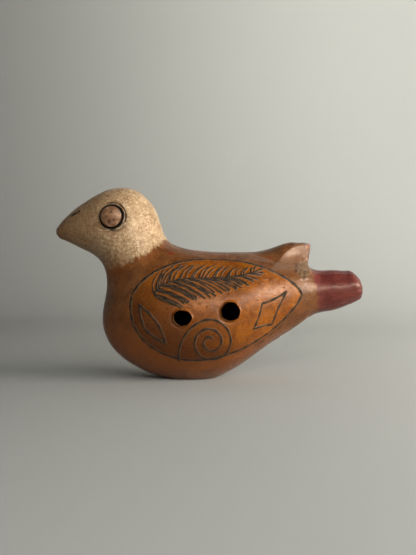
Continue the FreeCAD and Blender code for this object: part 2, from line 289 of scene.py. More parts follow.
def barbs(tips, count, bow, seed):
    """Strokes from the rib to a row of tips, each bowed and none quite like the next."""
    rib, tips = smooth_path(FEATHER_RIB, 0.1), smooth_path(tips, 0.1)
    lines = []
    for i in range(count):
        share = (i + 0.3 * math.sin(seed * i)) / (count - 1)
        root, tip = along(rib, 0.93 * max(share, 0.0) ** 1.25), along(tips, share)
        tip = root + (tip - root) * (0.94 + 0.09 * math.sin(2.9 * i + seed))
        across = np.array([root[1] - tip[1], tip[0] - root[0]])
        middle = (root + tip) / 2 + across * bow * (1 + 0.4 * math.sin(1.7 * i + seed))
        lines.append([root, middle, tip])
    return lines


def pattern_lines():
    """Every scratched line as (points, half width, darkness)."""
    lines = [(WING_UPPER, 0.50, 1.0), (WING_LOWER, 0.46, 1.0), (LOWER_ECHO, 0.3, 0.85),
             (spiral(), 0.40, 0.95), (FEATHER_RIB, 0.34, 1.0), (FEATHER_EDGE, 0.32, 1.0)]
    lines += [(line, 0.28, 0.95) for line in barbs(UPPER_TIPS, 27, 0.13, 2.3)]
    lines += [(line, 0.31, 1.0) for line in barbs(LOWER_TIPS, 31, 0.05, 4.1)]
    diamonds = bowed_sides(FRONT_DIAMOND, DIAMOND_BOW) + bowed_sides(REAR_DIAMOND, DIAMOND_BOW)
    lines += [(line, 0.40, 1.0) for line in diamonds]
    return lines


def mark_lines(side):
    """The nostril with its pit, the second arc round the eye, and scattered nicks."""
    lines = [((NOSTRIL_FRONT, NOSTRIL_REAR), 0.5, 1.0),
             ((NOSTRIL_REAR - NOSTRIL_PIT, NOSTRIL_REAR), 0.85, 1.0)]
    turns = np.radians(np.linspace(112, -22, 24))
    ring = EYE[:, None] + SECOND_RING * np.array([np.cos(turns), np.sin(turns)])
    lines.append((list(map(tuple, (ring / MM).T)), 0.24, 1.0))
    random = np.random.RandomState(17 + side)
    for _ in range(RANDOM_NICKS):
        x, z = random.uniform(-50, 68), random.uniform(2, 76)
        run, slope = random.gamma(1.6, 0.35), random.normal(0, 0.25)
        lines.append(([(x, z), (x + run, z + run * slope)], random.uniform(0.1, 0.19), 0.3))
    return lines


def side_variation(points, side):
    """The right side was drawn by hand too, so it isn't an exact mirror image of the left."""
    if side < 0:
        return points
    x, z = points[:, 0], points[:, 1]
    return np.stack([x + 0.5 * np.sin(z / 7) + 0.4, z + 0.45 * np.sin(x / 9 + 1)], axis=1)


def make_side_finder():
    """A k-d tree of the plain skin's left side seen flat, to lift (x, z) points onto the skin."""
    places = np.linspace(PLACES[1], PLACES[-2], 560)
    turns = np.linspace(math.pi, FULL_TURN, 300)
    points = skin(places[:, None], turns[None, :]).reshape(-1, 3)
    tree = KDTree(len(points))
    for i, point in enumerate(points):
        tree.insert((point[0], 0, point[2]), i)
    tree.balance()
    return tree, points


def lift(flat, side, finder):
    """(x, z) points in metres, put on the skin of one side; points off the skin are left out."""
    tree, points = finder
    lifted = []
    for x, z in flat:
        near = tree.find_n((x, 0, z), 4)
        if near[0][2] > 0.5 * MM:
            continue
        weights = [1 / (distance + 1e-6) for _, _, distance in near]
        width = sum(w * points[i][1] for w, (_, i, _) in zip(weights, near)) / sum(weights)
        lifted.append((x, width * -side, z))
    return lifted


class Scratches:
    """All scratched lines of both sides, for distances measured over the skin."""

    def __init__(self):
        finder = make_side_finder()
        samples, self.widths, self.darkness = [], [], []
        for side in (-1, 1):
            for points, width, dark in pattern_lines() + mark_lines(side):
                line = smooth_path(points, LINE_STEP) if len(points) > 2 else straight(*points)
                lifted = lift(MM * side_variation(line, side), side, finder)
                wear = np.sin(np.arange(len(lifted)) * LINE_STEP * 1.3 + len(samples))
                self.widths += list(width * MM * (0.87 + 0.13 * wear))
                self.darkness += list(dark * (0.88 + 0.12 * wear))
                samples += lifted
        self.samples = np.array(samples)
        self.tree = KDTree(len(samples))
        for i, point in enumerate(samples):
            self.tree.insert(point, i)
        self.tree.balance()

    def measure(self, points):
        """For each point: distance to the nearest line and height above it, both in half widths,
        and how dark that line is."""
        ratio = np.full(len(points), 9.0)
        above = np.zeros(len(points))
        dark = np.zeros(len(points))
        for i, point in enumerate(points):
            _, index, distance = self.tree.find(point)
            if distance < 9 * self.widths[index]:
                ratio[i] = distance / self.widths[index]
                above[i] = (point[2] - self.samples[index][2]) / self.widths[index]
                dark[i] = self.darkness[index]
        return {"line_ratio": ratio, "line_above": above, "line_dark": dark}


def straight(start, end):
    start, end = np.array(start), np.array(end)
    count = 2 + int(np.linalg.norm(end - start) / LINE_STEP)
    return start + np.linspace(0, 1, count)[:, None] * (end - start)


SCRATCHES = Scratches()
WING_OUTLINE = MM * np.vstack([smooth_path(WING_UPPER, 0.8), smooth_path(WING_LOWER, 0.8)])


def inside_wing(flat):
    """1 inside the wing panel, 0 outside, softened over the line's width."""
    x, z = flat[:, 0], flat[:, 1]
    inside = np.zeros(len(flat), bool)
    closed = np.vstack([WING_OUTLINE, WING_OUTLINE[:1]])
    for a, b in zip(closed[:-1], closed[1:]):
        crosses = (a[1] > z) != (b[1] > z)
        if a[1] != b[1]:
            inside ^= crosses & (x < a[0] + (z - a[1]) * (b[0] - a[0]) / (b[1] - a[1]))
    return inside.astype(float)


# ---------------------------------------------------------------------------------------------
# Relief: how far each point of the plain skin is pushed out (+) or in (-).

def hole_outline(angle, radii, phase):
    """Radius of a finger hole at an angle: an oval that isn't quite even."""
    plain = 1 / np.sqrt((np.cos(angle) / radii[0]) ** 2 + (np.sin(angle) / radii[1]) ** 2)
    return plain * (1 + 0.025 * np.sin(3 * angle + phase) + 0.016 * np.sin(7 * angle + 2 * phase))


def rim_dip(points, hole):
    """The rounded rim of a finger hole, with a little clay raised around it."""
    side, middle, radii, phase = hole
    dx, dz = points[:, 0] - middle[0], points[:, 2] - middle[1]
    angle = np.arctan2(dz, dx)
    gap = np.hypot(dx, dz) - hole_outline(angle, radii, phase)
    reach = np.clip(RIM_ROUND - gap, 0, RIM_ROUND)
    dip = RIM_ROUND - np.sqrt(RIM_ROUND ** 2 - reach ** 2)
    lip = 0.17 * MM * np.exp(-((gap - 0.8 * MM) / (0.5 * MM)) ** 2)
    lip *= 0.7 + 0.7 * np.cos(angle - math.radians(220))
    near = (points[:, 1] * side > 8 * MM) & (gap > -1.5 * MM)
    return np.where(near, lip - dip, 0.0)


def eye_dip(points):
    """Clay pushed up round the eye's socket, and a second, fainter ring behind it."""
    dx, dz = points[:, 0] - EYE[0], points[:, 2] - EYE[1]
    radius, angle = np.hypot(dx, dz), np.arctan2(dz, dx)
    reach = np.clip((0.45 * MM + SOCKET_RADIUS - radius) / (0.45 * MM), 0, 1)
    rounding = 0.22 * MM * reach ** 2
    swell = 0.25 * MM * np.exp(-((radius - SOCKET_RADIUS - 0.9 * MM) / (0.7 * MM)) ** 2)
    arc = ramp(np.cos(angle - math.radians(32)), 0.3, 0.8)
    second = 0.26 * MM * arc * np.exp(-((radius - SECOND_RING) / (0.2 * MM)) ** 2)
    return swell - rounding - second


def facets(place, turn, depth):
    """Flat strokes left by the burnishing stone: the round section becomes a soft polygon."""
    share = (place - PLACES[HEAD_SEAM]) / (PLACES[-1] - PLACES[HEAD_SEAM])
    drift = 0.25 * np.sin(9 * share) + 0.12 * np.sin(23 * share)
    bent = turn + 0.16 * np.sin(2 * turn + 0.7) + 0.1 * np.sin(3 * turn + drift) + 0.1 * drift
    phase = (bent * FACET_COUNT / FULL_TURN) % 1.0 - 0.5
    return -depth * (1 - (2 * phase) ** 2)


def rough_patch(points):
    """1 in the hollows behind the fin's foot, which the burnishing stone couldn't reach."""
    reach = np.hypot((points[:, 0] - ROUGH_MIDDLE[0]) / ROUGH_SIZE[0],
                     (points[:, 2] - ROUGH_MIDDLE[1]) / ROUGH_SIZE[1])
    return 1 - ramp(reach + 0.25 * noise_field(points, 2.2 * MM, 5.0), 0.7, 1.25)


def relief(points, place, turn):
    """Everything that lifts or dents the plain skin. points is (n, 3) in metres."""
    lifted = 0.42 * MM * noise_field(points, 17 * MM)
    lifted += 0.13 * MM * noise_field(points, 6.5 * MM, 7.0)
    lifted += 0.035 * MM * noise_field(points, 2.2 * MM, 3.0)
    on_mouthpiece = ramp(place, PLACES[TAIL_SEAM] - 2 * MM, PLACES[TAIL_SEAM] + 3 * MM)
    on_head = 1 - ramp(place, PLACES[HEAD_SEAM] - 6 * MM, PLACES[HEAD_SEAM] + 6 * MM)
    lifted += 0.045 * MM * on_head * noise_field(points, 1.3 * MM, 9.0)
    lifted += facets(place, turn, 0.10 * MM + 0.08 * MM * on_mouthpiece)
    lifted *= ramp(points[:, 2], 0.5 * MM, 5 * MM)
    if np.ptp(points[:, 0]) > 0 and points[:, 0].min() < EYE[0] - 6 * MM:
        lifted += eye_dip(points)
    if points[:, 0].max() > ROUGH_MIDDLE[0] - 8 * MM:
        rough = rough_patch(points)
        lifted -= rough * MM * (0.3 + 0.22 * noise_field(points, 1.1 * MM, 21.0))
    for hole in FINGER_HOLES:
        lifted += rim_dip(points, hole)
    return lifted


def groove(marks):
    """Depth of a scratched line: a V with a small burr thrown up on both sides."""
    ratio, dark = marks["line_ratio"], marks["line_dark"]
    depth = 0.32 * MM * np.exp(-(ratio / 0.95) ** 2)
    burr = 0.04 * MM * np.exp(-((ratio - 1.9) / 0.55) ** 2)
    return (burr - depth) * (0.25 + 0.75 * dark)


# ---------------------------------------------------------------------------------------------
# Meshes

def column_turns(count):
    """Angles round a section, closer together on the flanks than on the back and belly."""
    even = np.arange(count) / count * FULL_TURN
    return even + 0.17 * np.sin(2 * even)


COLUMNS = column_turns(500)
CHAMBER_COLUMNS = COLUMNS[::4]


def row_places(first, last, spacing):
    """Places of the rows between two seams, with a very thin row at each end for clean shading."""
    count = int(round((last - first) / spacing))
    rows = np.linspace(first, last, count + 1)
    thin = 0.05 * MM
    return np.concatenate([[first, first + thin], rows[1:-1], [last - thin, last]])


def modelled_skin(place, turn):
    """Points of the finished skin, and the marks that its colours are worked out from."""
    plain = skin(place, turn)
    marks = SCRATCHES.measure(plain)
    raised = relief(plain, place, turn) + groove(marks)
    points = plain + skin_normals(place, turn) * raised[:, None]
    points[:, 2] = np.maximum(points[:, 2], 0.0)
    return points, marks


def new_object(name, vertices, faces):
    mesh = bpy.data.meshes.new(name)
    mesh.from_pydata([tuple(v) for v in vertices], [], [tuple(int(i) for i in f) for f in faces])
    mesh.update()
    shell = bmesh.new()
    shell.from_mesh(mesh)
    bmesh.ops.recalc_face_normals(shell, faces=shell.faces)
    shell.to_mesh(mesh)
    shell.free()
    item = bpy.data.objects.new(name, mesh)
    bpy.context.scene.collection.objects.link(item)
    return item


class Shell:
    """Collects rings of vertices and the faces between them."""

    def __init__(self):
        self.vertices = []
        self.faces = []

    def add_ring(self, points):
        start = len(self.vertices)
        self.vertices.extend(points)
        return list(range(start, start + len(points)))

    def bridge(self, first, second):
        following = zip(first, first[1:] + first[:1], second[1:] + second[:1], second)
        self.faces.extend(following)

    def bridge_coarse(self, fine, coarse):
        """Joins a ring to one that has a whole number of times fewer vertices."""
        times = len(fine) // len(coarse)
        for j in range(len(coarse)):
            edge = [fine[(j * times + i) % len(fine)] for i in range(times + 1)]
            self.faces.append(edge + [coarse[(j + 1) % len(coarse)], coarse[j]])

    def close(self, ring, outwards=(0, 0, 0)):
        """Closes a ring with a fan to its middle, moved by outwards."""
        middle = np.mean([self.vertices[i] for i in ring], axis=0) + outwards
        tip = self.add_ring([middle])[0]
        self.faces.extend((a, b, tip) for a, b in zip(ring, ring[1:] + ring[:1]))

    def add_skin(self, first, last, spacing):
        """Rings of the finished skin between two places; returns the first and the last ring."""
        places = row_places(first, last, spacing)
        place, turn = (a.ravel() for a in np.meshgrid(places, COLUMNS, indexing="ij"))
        points, self.marks = modelled_skin(place, turn)
        self.skin_points = points
        rings = [self.add_ring(row) for row in points.reshape(len(places), len(COLUMNS), 3)]
        for before, after in zip(rings[:-1], rings[1:]):
            self.bridge(before, after)
        return rings[0], rings[-1]

    def add_chamber(self, places, extra_insets):
        """Rings of the hollow: the plain skin moved inwards by the wall, and more at its closed end."""
        rings = []
        for place, extra in zip(places, extra_insets):
            row = SECTION_CURVE(place)
            middle, chord = (row[0:2] + row[2:4]) / 2, (row[2:4] - row[0:2]) / 2
            half = np.linalg.norm(chord)
            tall = (half - WALL - extra) / half
            points = np.stack([
                middle[0] + chord[0] * tall * np.cos(CHAMBER_COLUMNS),
                (row[4] - WALL - extra) * np.sin(CHAMBER_COLUMNS),
                middle[1] + chord[1] * tall * np.cos(CHAMBER_COLUMNS),
            ], axis=1)
            pressed = [noise_field(points, 5 * MM, 11.0 + k) for k in range(3)]
            rings.append(self.add_ring(points + 0.35 * MM * np.stack(pressed, axis=1)))
        for before, after in zip(rings[:-1], rings[1:]):
            self.bridge(before, after)
        return rings[0], rings[-1]


def boolean(target, cutter):
    """Cuts one closed mesh out of another."""
    modifier = target.modifiers.new("cut", "BOOLEAN")
    modifier.operation = "DIFFERENCE"
    modifier.object = cutter
    modifier.solver = "MANIFOLD"
    graph = bpy.context.evaluated_depsgraph_get()
    mesh = bpy.data.meshes.new_from_object(target.evaluated_get(graph))
    target.modifiers.clear()
    old = target.data
    if len(mesh.vertices) in (0, len(old.vertices)):
        raise RuntimeError("the cut of %s failed" % target.name)
    target.data = mesh
    bpy.data.meshes.remove(old)
    bpy.data.objects.remove(cutter)


def side_prism(name, middle, radii, side, low, high):
    """A closed prism along Y on one side, from a radius at each of many angles."""
    angles = np.linspace(0, FULL_TURN, len(radii), endpoint=False)
    shell = Shell()
    rings = []
    for level in sorted((side * low, side * high)):
        rings.append(shell.add_ring([(middle[0] + r * math.cos(a), level, middle[1] + r * math.sin(a))
                                     for a, r in zip(angles, radii)]))
        shell.close(rings[-1])
    shell.bridge(*rings)
    return new_object(name, shell.vertices, shell.faces)


def cut_finger_holes(item, holes):
    angles = np.linspace(0, FULL_TURN, 96, endpoint=False)
    for side, middle, radii, phase in holes:
        outline = hole_outline(angles, radii, phase)
        boolean(item, side_prism("hole_cutter", middle, outline, side, 11 * MM, 32 * MM))


def soft_block(name, low, high, round_by, uneven=0.0, matrix=None):
    """A block with rounded edges and slightly uneven faces, as wet clay is cut."""
    shell = bmesh.new()
    corners = [[(low[0], high[0])[i], (low[1], high[1])[j], (low[2], high[2])[k]]
               for i in range(2) for j in range(2) for k in range(2)]
    vertices = [shell.verts.new(c) for c in corners]
    for quad in ((0, 1, 3, 2), (4, 6, 7, 5), (0, 4, 5, 1), (2, 3, 7, 6), (0, 2, 6, 4), (1, 5, 7, 3)):
        shell.faces.new([vertices[i] for i in quad])
    bmesh.ops.subdivide_edges(shell, edges=shell.edges, cuts=7, use_grid_fill=True)
    sharp = [e for e in shell.edges if e.calc_face_angle() > 1.0]
    bmesh.ops.bevel(shell, geom=sharp, offset=round_by, segments=3, affect="EDGES", profile=0.5)
    for vertex in shell.verts:
        vertex.co += uneven * noise.noise_vector(vertex.co / (2.4 * MM))
    if matrix is not None:
        shell.transform(matrix)
    bmesh.ops.recalc_face_normals(shell, faces=shell.faces)
    mesh = bpy.data.meshes.new(name)
    shell.to_mesh(mesh)
    shell.free()
    item = bpy.data.objects.new(name, mesh)
    bpy.context.scene.collection.objects.link(item)
    return item


def windway_cutter():
    """The slot that carries the breath from the mouthpiece's end down to the sound window."""
    slope = Matrix.Translation(WINDWAY_FOOT) @ Matrix.Rotation(-WINDWAY_SLOPE, 4, "Y")
    low, high = (-0.02 * MM, -WINDWAY_HALF, -1 * MM), (28 * MM, WINDWAY_HALF, 1 * MM)
    return soft_block("windway_cutter", low, high, 0.25 * MM, 0.08 * MM, slope)


def coordinates(mesh):
    flat = np.empty(len(mesh.vertices) * 3, np.float32)
    mesh.vertices.foreach_get("co", flat)
    return flat.reshape(-1, 3).astype(float)


def store(mesh, name, values):
    attribute = mesh.attributes.new(name, "FLOAT", "POINT")
    attribute.data.foreach_set("value", np.asarray(values, np.float32))


def colour_attributes(item, skin_points, marks):
    """Stores on each vertex what the clay material needs to know about its place."""
    mesh = item.data
    points = coordinates(mesh)
    tree = KDTree(len(skin_points))
    for i, point in enumerate(skin_points):
        tree.insert(point, i)
    tree.balance()
    nearest = [tree.find(point) for point in points]
    index = np.array([found[1] for found in nearest])
    depth = np.array([found[2] for found in nearest])
    outside = depth < 0.4 * MM
    store(mesh, "line_ratio", np.where(outside, marks["line_ratio"][index], 9.0))
    store(mesh, "line_above", np.where(outside, marks["line_above"][index], 0.0))
    store(mesh, "line_dark", np.where(outside, marks["line_dark"][index], 0.0))
    store(mesh, "depth", depth / MM)
    flat = points[:, [0, 2]]
    store(mesh, "wing", inside_wing(flat))
    past_bend = np.maximum(points[:, 0] / MM - CREAM_BEND, 0)
    edge = MM * (CREAM_LEVEL + CREAM_RISE * past_bend ** 2)
    store(mesh, "above_cream", (points[:, 2] - edge) / MM)
    store(mesh, "eye_distance", np.linalg.norm(flat - EYE, axis=1) / MM)
    store(mesh, "rough_patch", rough_patch(points))
    specks = np.array([np.linalg.norm((flat - MM * np.array(m)) / (MM * np.array(s)), axis=1)
                       for m, s in RED_SPECKS]).min(axis=0)
    store(mesh, "red_speck", np.where(points[:, 1] < 0, specks, 9.0))


# ---------------------------------------------------------------------------------------------
# Materials

def srgb(red, green, blue):
    """A colour given as 0-255 display values, as linear values with alpha."""
    linear = [v / 12.92 if v <= 0.04045 else ((v + 0.055) / 1.055) ** 2.4
              for v in (red / 255, green / 255, blue / 255)]
    return (*linear, 1.0)


class Nodes:
    """Builds a node material; sockets are given as other nodes' outputs or as plain values."""

    def __init__(self, name):
        self.material = bpy.data.materials.new(name)
        self.material.use_nodes = True
        self.tree = self.material.node_tree
        self.shader = self.tree.nodes["Principled BSDF"]
        place = self.add("ShaderNodeTexCoord").outputs["Object"]
        self.millimetres = self.stretch(place, (1000, 1000, 1000))

    def add(self, kind, inputs=(), **settings):
        node = self.tree.nodes.new(kind)
        for name, value in settings.items():
            setattr(node, name, value)
        for key, value in dict(inputs).items():
            self.feed(node.inputs[key], value)
        return node

    def feed(self, socket, value):
        if isinstance(value, bpy.types.NodeSocket):
            self.tree.links.new(value, socket)
        else:
            socket.default_value = value

    def stretch(self, vector, factors):
        return self.add("ShaderNodeVectorMath", {0: vector, 1: factors}, operation="MULTIPLY").outputs[0]

    def math(self, operation, first, second=0.0):
        return self.add("ShaderNodeMath", {0: first, 1: second}, operation=operation).outputs[0]

    def times(self, first, second):
        return self.math("MULTIPLY", first, second)

    def plus(self, first, second):
        return self.math("ADD", first, second)

    def minus(self, first, second):
        return self.math("SUBTRACT", first, second)

    def attribute(self, name):
        return self.add("ShaderNodeAttribute", attribute_name=name).outputs["Fac"]

    def step(self, value, low, high, to_low=0.0, to_high=1.0):
        """Smoothly from to_low at low to to_high at high."""
        return self.add("ShaderNodeMapRange", {
            "Value": value, "From Min": low, "From Max": high, "To Min": to_low, "To Max": to_high,
        }, interpolation_type="SMOOTHSTEP").outputs["Result"]

    def noise(self, scale, detail=3.0, roughness=0.55, stretch=(1, 1, 1), warp=0.0):
        """Noise whose scale is in features to a millimetre."""
        place = self.stretch(self.millimetres, stretch)
        return self.add("ShaderNodeTexNoise", {
            "Vector": place, "Scale": scale, "Detail": detail, "Roughness": roughness,
            "Distortion": warp,
        }).outputs["Fac"]

    def cells(self, scale, feature="F1"):
        return self.add("ShaderNodeTexVoronoi", {"Vector": self.millimetres, "Scale": scale},
                        feature=feature).outputs["Distance"]

    def mix(self, factor, first, second, blend="MIX"):
        node = self.add("ShaderNodeMix", data_type="RGBA", blend_type=blend)
        for socket, value in zip((node.inputs[0], node.inputs[6], node.inputs[7]),
                                 (factor, first, second)):
            self.feed(socket, value)
        return node.outputs[2]

    def bump(self, height, distance, strength=1.0, after=None):
        inputs = {"Height": height, "Distance": distance, "Strength": strength}
        if after is not None:
            inputs["Normal"] = after
        return self.add("ShaderNodeBump", inputs).outputs["Normal"]

    def finish(self, colour, roughness, normal, gloss=0.5):
        self.feed(self.shader.inputs["Base Color"], colour)
        self.feed(self.shader.inputs["Roughness"], roughness)
        self.feed(self.shader.inputs["Normal"], normal)
        self.feed(self.shader.inputs["Specular IOR Level"], gloss)
        self.feed(self.shader.inputs["Specular Tint"], SHEEN)
        return self.material


# The third brown is a warmer tone of the clay in patches, and on the lower breast it is painted reflected
# light.
BROWN, BROWN_DARK, BROWN_WARM_AND_BOUNCE = srgb(118, 74, 38), srgb(88, 50, 22), srgb(136, 70, 14)
ORANGE, ORANGE_DEEP, ORANGE_LIGHT = srgb(150, 83, 10), srgb(108, 52, 3), srgb(174, 110, 44)
STROKE_DARK, SPECK_DARK = srgb(92, 47, 12), srgb(60, 31, 11)
# Painted shade, laid on the front and lower part of the wing panel.
FRONT_LOW_SHADE = srgb(58, 22, 1)
CREAM, CREAM_DULL = srgb(176, 144, 106), srgb(146, 112, 76)
CREAM_LIGHT, CREAM_WORN = srgb(224, 200, 164), srgb(104, 70, 42)
# Painted shade for the front of the cream head, away from the light.
CREAM_SHADED_FRONT = srgb(114, 77, 43)
# The beak's brown is partly a smoky tinge of the clay and partly painted shade.
BEAK_TINGE_AND_SHADE, SMUDGE = srgb(104, 68, 42), srgb(52, 32, 18)
RED, RED_DARK, RED_WORN = srgb(108, 47, 40), srgb(84, 34, 31), srgb(136, 82, 72)
RED_SPECK = srgb(116, 28, 20)
ROUGH_OLIVE, ROUGH_DARK = srgb(108, 82, 50), srgb(42, 34, 22)
# The second line colour is near-black painted shade for grooves, the nostril and the eye's socket ring,
# which also has black pigment.
LINE_LIGHT, GROOVE_SHADE = srgb(88, 70, 48), srgb(11, 9, 7)
# The fin's second colour is a painted sheen on its pressed facet, and the third is painted shade on its
# ridge.
CHIP, FIN_SHEEN, FIN_RIDGE_SHADE = srgb(146, 88, 50), srgb(118, 94, 75), srgb(90, 62, 40)
# The third raw colour is painted shade, deep inside the holes and the hollow.
RAW_CLAY, RAW_LIGHT, DEEP_SHADE = srgb(136, 84, 44), srgb(170, 112, 66), srgb(22, 14, 9)
PELLET, PELLET_DARK, PELLET_LIGHT = srgb(128, 92, 64), srgb(94, 63, 44), srgb(162, 126, 96)
PELLET_DOT = srgb(58, 32, 22)
SHEEN = srgb(255, 226, 204)
# The stage's painted shade and painted light, for its dark and pale sides.
STAGE_SHADED_SIDE, STAGE_LIT_SIDE = srgb(146, 147, 144), srgb(238, 239, 234)


def make_skin_material():
    """Burnished brown clay with an orange wing, cream slip on the head and red slip on the tail."""
    n = Nodes("burnished_clay")
    broad = n.noise(0.055, 4.0, 0.6)
    cloud = n.noise(0.22, 5.0, 0.6, warp=0.6)
    fine = n.noise(1.5, 4.0, 0.65)
    grain = n.noise(3.6, 2.0, 0.6)
    strokes = n.noise(0.9, 4.0, 0.6, stretch=(0.09, 1.0, 1.0))
    upright = n.noise(0.85, 3.0, 0.6, stretch=(1.0, 1.0, 0.13))
    pits = n.cells(0.42)

    brown = n.mix(n.step(cloud, 0.35, 0.66), BROWN_DARK, BROWN)
    brown = n.mix(n.step(broad, 0.45, 0.68, 0.0, 0.5), brown, BROWN_WARM_AND_BOUNCE)
    orange = n.mix(n.step(cloud, 0.3, 0.7), ORANGE_DEEP, ORANGE)
    orange = n.mix(n.step(fine, 0.5, 0.75, 0.0, 0.55), orange, ORANGE_LIGHT)
    wing_edge = n.plus(n.attribute("wing"), n.times(n.minus(fine, 0.5), 0.5))
    across, _, upward = n.add("ShaderNodeSeparateXYZ", {0: n.millimetres}).outputs
    # Painted reflected light: the lower breast, towards the front, is warmed as if lit by warm light thrown
    # up from below.
    bounce_glow = n.times(n.step(upward, 34.0, 8.0), n.step(across, 12.0, -12.0, 0.25, 0.85))
    brown = n.mix(bounce_glow, brown, BROWN_WARM_AND_BOUNCE)
    colour = n.mix(n.step(wing_edge, 0.3, 0.7), brown, orange)
    # Painted shade: inside the wing the colour goes darker towards the front and the bottom, away from the
    # window light.
    towards_front_and_low = n.add("ShaderNodeVectorMath", {0: n.millimetres, 1: (-0.5, 0.0, -0.86)}, operation="DOT_PRODUCT")
    towards_front_and_low = n.plus(towards_front_and_low.outputs["Value"], n.times(cloud, 10.0))
    painted_front_shade = n.times(n.step(wing_edge, 0.3, 0.7), n.step(towards_front_and_low, -26.0, -6.0, 0.0, 0.8))
    colour = n.mix(painted_front_shade, colour, FRONT_LOW_SHADE)
    colour = n.mix(n.step(strokes, 0.38, 0.62, 0.0, 0.30), colour, STROKE_DARK)
    colour = n.mix(n.step(grain, 0.56, 0.74, 0.0, 0.5), colour, SPECK_DARK)
    colour = n.mix(n.step(n.noise(1.8, 4.0, 0.75), 0.55, 0.66, 0.0, 0.4), colour, SPECK_DARK)
    colour = n.mix(n.step(pits, 0.16, 0.07, 0.0, 0.5), colour, SPECK_DARK)

    cream = n.mix(n.step(cloud, 0.33, 0.62), CREAM_DULL, CREAM)
    cream = n.mix(n.step(fine, 0.50, 0.62, 0.0, 0.9), cream, CREAM_LIGHT)
    cream = n.mix(n.step(grain, 0.50, 0.64, 0.0, 0.6), cream, CREAM_WORN)
    fleck = n.noise(0.75, 5.0, 0.75)
    cream = n.mix(n.step(fleck, 0.55, 0.66, 0.0, 0.8), cream, CREAM_WORN)
    cream = n.mix(n.step(fleck, 0.45, 0.36, 0.0, 0.6), cream, CREAM_LIGHT)
    # Painted shade: the cream goes browner towards the beak, on the side away from the light.
    cream = n.mix(n.step(across, -24.0, -46.0, 0.0, 0.6), cream, CREAM_SHADED_FRONT)
    above = n.attribute("above_cream")
    drips = n.times(n.minus(upright, 0.5), 5.0)
    swags = n.times(n.minus(n.noise(0.13, 2.0), 0.5), 5.0)
    ragged = n.plus(above, n.plus(drips, swags))
    thick = n.step(across, -30.0, -18.0, 0.0, 5.0)
    thin = n.step(n.plus(above, thick), -1.0, 7.0, 0.42, 1.0)
    worn = n.step(n.plus(fine, n.times(above, 0.02)), 0.34, 0.50)
    patchy = n.times(thin, n.step(worn, 0.0, 1.0, 0.6, 1.0))
    cover = n.times(n.step(ragged, -1.0, 1.0), patchy)
    colour = n.mix(cover, colour, cream)
    # The beak goes darker brown: partly a smoky tinge of the clay, partly painted shade.
    beak = n.step(across, -44.0, -57.0, 0.0, 0.75)
    beak_tinge_and_shade_mask = n.times(beak, n.step(cloud, 0.25, 0.5, 0.6, 1.0))
    colour = n.mix(beak_tinge_and_shade_mask, colour, BEAK_TINGE_AND_SHADE)

    eye = n.attribute("eye_distance")
    under_eye = n.times(n.step(eye, 7.6, 5.6), n.step(upward, 67.0, 62.5, 0.2, 1.0))
    smudge = n.times(under_eye, n.step(n.noise(0.8, 4.0, 0.7), 0.44, 0.56, 0.0, 0.85))
    colour = n.mix(smudge, colour, SMUDGE)

    brushed = n.plus(across, n.times(n.minus(n.noise(0.35, 4.0), 0.5), 4.0))
    brushed = n.plus(brushed, n.times(upward, 0.2))
    red_part = n.step(brushed, 58.0, 60.2)
    red = n.mix(n.step(cloud, 0.3, 0.7), RED_DARK, RED)
    red = n.mix(n.step(fine, 0.55, 0.75, 0.0, 0.4), red, RED_WORN)
    colour = n.mix(red_part, colour, red)
    speck = n.plus(n.attribute("red_speck"), n.times(fine, 0.8))
    colour = n.mix(n.step(speck, 1.6, 1.0, 0.0, 0.8), colour, RED_SPECK)

    blot = n.noise(0.7, 4.0, 0.7)
    torn = n.times(n.minus(blot, 0.5), 2.6)
    rough_part = n.step(n.plus(n.attribute("rough_patch"), torn), 0.35, 0.75)
    rough_colour = n.mix(n.step(n.noise(1.3, 3.0, 0.6), 0.44, 0.56), ROUGH_DARK, ROUGH_OLIVE)
    colour = n.mix(n.times(rough_part, 0.75), colour, rough_colour)

    ratio, over = n.attribute("line_ratio"), n.attribute("line_above")
    dark = n.attribute("line_dark")
    uneven = n.times(n.minus(n.noise(1.1, 3.0), 0.5), 1.1)
    scraped = n.times(n.step(n.plus(ratio, uneven), 1.7, 1.0), dark)
    colour = n.mix(scraped, colour, LINE_LIGHT)
    # Painted shade: a near-black core in each scratched line, pushed towards its upper side, where the
    # groove's upper wall lies in shade.
    groove_shade_core = n.plus(n.minus(ratio, n.times(over, 0.3)), uneven)
    colour = n.mix(n.times(n.step(groove_shade_core, 1.2, 0.8), dark), colour, GROOVE_SHADE)

    slant = n.add("ShaderNodeVectorMath", {0: n.millimetres, 1: (1.0, 0.0, -1.03)},
                  operation="DOT_PRODUCT")
    facet = n.times(n.step(slant.outputs["Value"], -14.6, -12.8), n.step(upward, 42.5, 47.0))
    facet = n.times(facet, n.step(across, 51.6, 50.6))
    # Painted shade on the fin's ridge in front of the facet, which faces away from the light.
    ridge = n.times(n.step(upward, 48.0, 51.5), n.step(across, 24.0, 32.0, 0.0, 0.5))
    colour = n.mix(n.times(ridge, n.step(facet, 0.9, 0.1)), colour, FIN_RIDGE_SHADE)
    # Painted sheen: the pressed facet and the foot below it are turned pale grey, as the window's
    # reflection lights them.
    fin_sheen = n.times(n.step(facet, 0.1, 0.9), n.step(fine, 0.36, 0.6, 0.75, 0.4))
    colour = n.mix(fin_sheen, colour, FIN_SHEEN)
    colour = n.mix(n.step(n.attribute("chip"), 0.25, 0.5), colour, CHIP)
    depth = n.attribute("depth")
    inside = n.step(depth, 0.3, 0.9)
    raw = n.mix(n.step(fine, 0.4, 0.65), RAW_CLAY, RAW_LIGHT)
    # Painted shade: the raw clay goes near-black deeper inside the holes and the hollow.
    raw = n.mix(n.step(depth, 0.8, 4.0), raw, DEEP_SHADE)
    colour = n.mix(inside, colour, raw)
    # Painted shade with black pigment in the eye's socket ring.
    colour = n.mix(n.step(eye, 5.5, 5.0), colour, GROOVE_SHADE)

